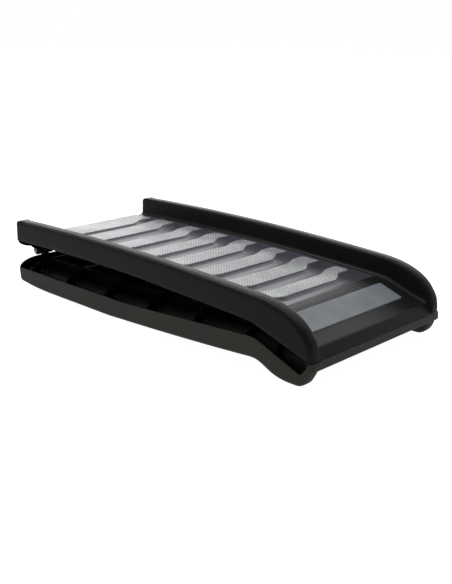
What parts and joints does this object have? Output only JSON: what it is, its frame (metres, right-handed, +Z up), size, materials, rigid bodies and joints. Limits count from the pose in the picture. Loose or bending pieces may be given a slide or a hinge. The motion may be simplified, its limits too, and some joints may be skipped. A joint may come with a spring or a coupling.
{
  "type": "folding pet ramp",
  "caption": "Folding pet ramp with side rails: hollow moulded halves on pinned hinges, swept tread strips, turned-down noses and non-slip end pads, shown folded.",
  "frame": {"origin": "centre of the folded ramp's footprint, on the surface that it stands on", "axes": "+X from the hinge end to the nose end, +Y across the ramp, +Z up"},
  "size_m": [0.9012, 0.415, 0.1588],
  "materials": {
    "upper_plastic": "satin moulded black plastic",
    "lower_plastic": "satin moulded charcoal plastic",
    "tread_rubber": "light grey, fine diagonal knurl",
    "pad_rubber": "blue-grey, fine grit",
    "pin_steel": "turned, lightly oiled",
    "clip_steel": "black oxide"
  },
  "bodies": {
    "lower_half": {"lower_deck": "lower_plastic", "lower_lip": "lower_plastic", "lower_end_wall": "lower_plastic", "lower_near_rail": "lower_plastic", "lower_far_rail": "lower_plastic", "lower_near_long_rib": "lower_plastic", "lower_far_long_rib": "lower_plastic", "lower_cross_rib_1": "lower_plastic", "lower_cross_rib_2": "lower_plastic", "lower_cross_rib_3": "lower_plastic", "lower_cross_rib_4": "lower_plastic", "lower_cross_rib_5": "lower_plastic", "lower_cross_rib_6": "lower_plastic", "lower_cross_rib_7": "lower_plastic", "lower_near_knuckle": "lower_plastic", "lower_far_knuckle": "lower_plastic", "lower_end_pad": "pad_rubber", "lower_tread_1": "tread_rubber", "lower_tread_2": "tread_rubber", "lower_tread_3": "tread_rubber", "lower_tread_4": "tread_rubber", "lower_tread_5": "tread_rubber", "lower_tread_6": "tread_rubber", "lower_tread_7": "tread_rubber", "lower_tread_8": "tread_rubber"},
    "upper_half": {"upper_deck": "upper_plastic", "upper_nose_face": "upper_plastic", "upper_end_wall": "upper_plastic", "upper_near_rail": "upper_plastic", "upper_far_rail": "upper_plastic", "upper_near_long_rib": "upper_plastic", "upper_far_long_rib": "upper_plastic", "upper_cross_rib_1": "upper_plastic", "upper_cross_rib_2": "upper_plastic", "upper_cross_rib_3": "upper_plastic", "upper_cross_rib_4": "upper_plastic", "upper_cross_rib_5": "upper_plastic", "upper_cross_rib_6": "upper_plastic", "upper_cross_rib_7": "upper_plastic", "upper_near_outer_knuckle": "upper_plastic", "upper_near_inner_knuckle": "upper_plastic", "upper_far_outer_knuckle": "upper_plastic", "upper_far_inner_knuckle": "upper_plastic", "upper_end_pad": "pad_rubber", "upper_tread_1": "tread_rubber", "upper_tread_2": "tread_rubber", "upper_tread_3": "tread_rubber", "upper_tread_4": "tread_rubber", "upper_tread_5": "tread_rubber", "upper_tread_6": "tread_rubber", "upper_tread_7": "tread_rubber", "upper_tread_8": "tread_rubber", "near_hinge_pin": "pin_steel", "far_hinge_pin": "pin_steel", "near_pin_clip": "clip_steel", "far_pin_clip": "clip_steel"}
  },
  "joints": [
    {"name": "fold", "type": "hinge", "parent": "lower_half", "child": "upper_half", "pos_m": [-0.43962, 0, 0.0734], "axis": [0, -1, 0], "range_deg": [0, 180]}
  ]
}
